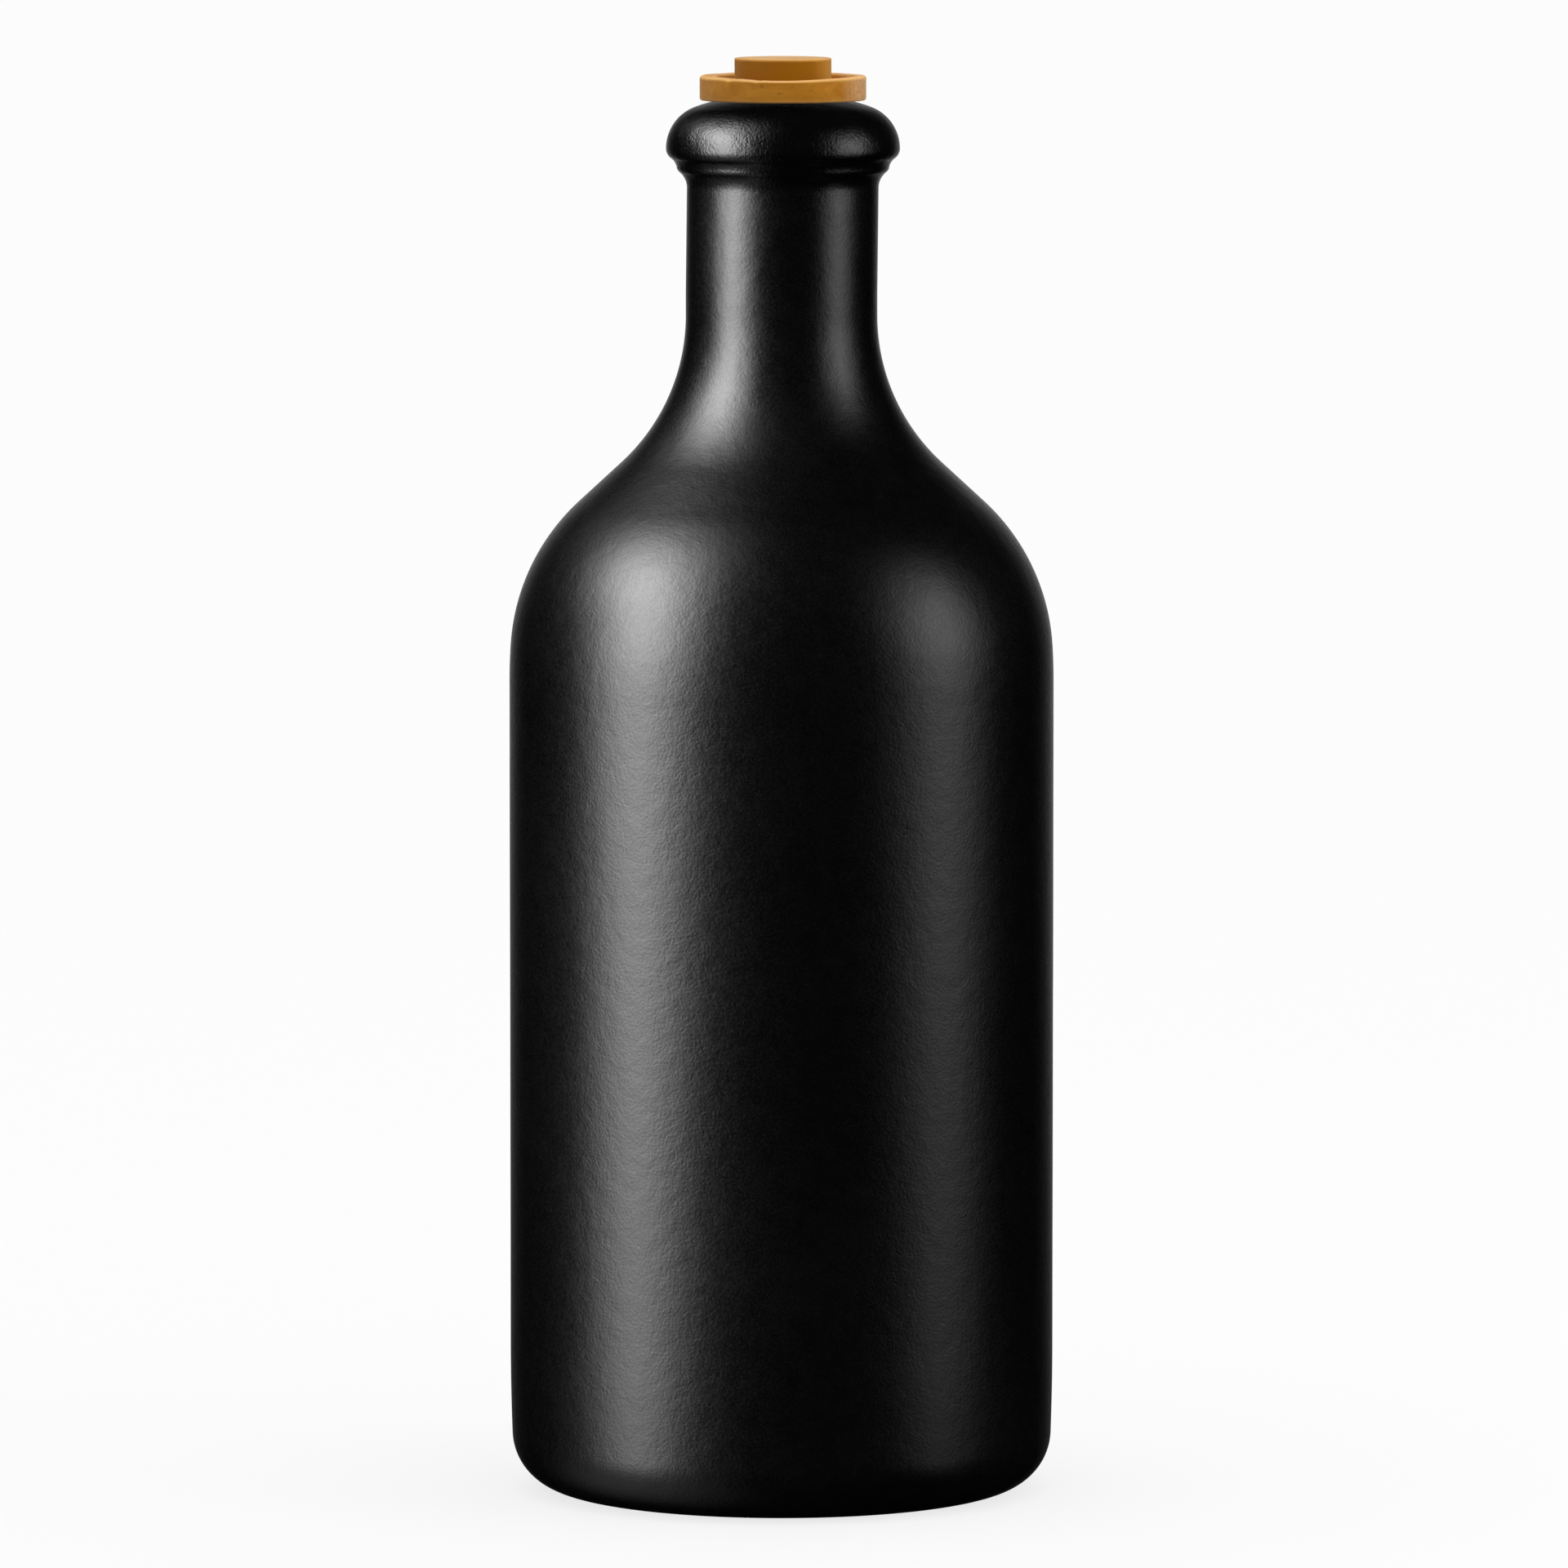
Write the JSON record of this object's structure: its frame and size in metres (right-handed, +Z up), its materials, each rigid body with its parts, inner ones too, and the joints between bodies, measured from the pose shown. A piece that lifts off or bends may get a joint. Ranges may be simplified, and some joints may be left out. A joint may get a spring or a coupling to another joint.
{
  "type": "stoneware oil bottle",
  "caption": "Round black stoneware oil bottle with an ogee shoulder, slim neck and beaded lip, shut with a turned wooden stopper with a raised rim and a round knob.",
  "frame": {"origin": "centre of the foot, on the surface the bottle stands on", "axes": "+Z up along the bottle's axis, from foot to stopper; the bottle is round, so X and Y are free, and the shown side faces -Y"},
  "size_m": [0.078, 0.078, 0.2057],
  "materials": {
    "stoneware": "satin black glaze with a fine orange-peel surface",
    "stopper_wood": "turned wood, amber stain, satin"
  },
  "bodies": {
    "root": {"bottle": "stoneware", "stopper": "stopper_wood"}
  },
  "joints": []
}
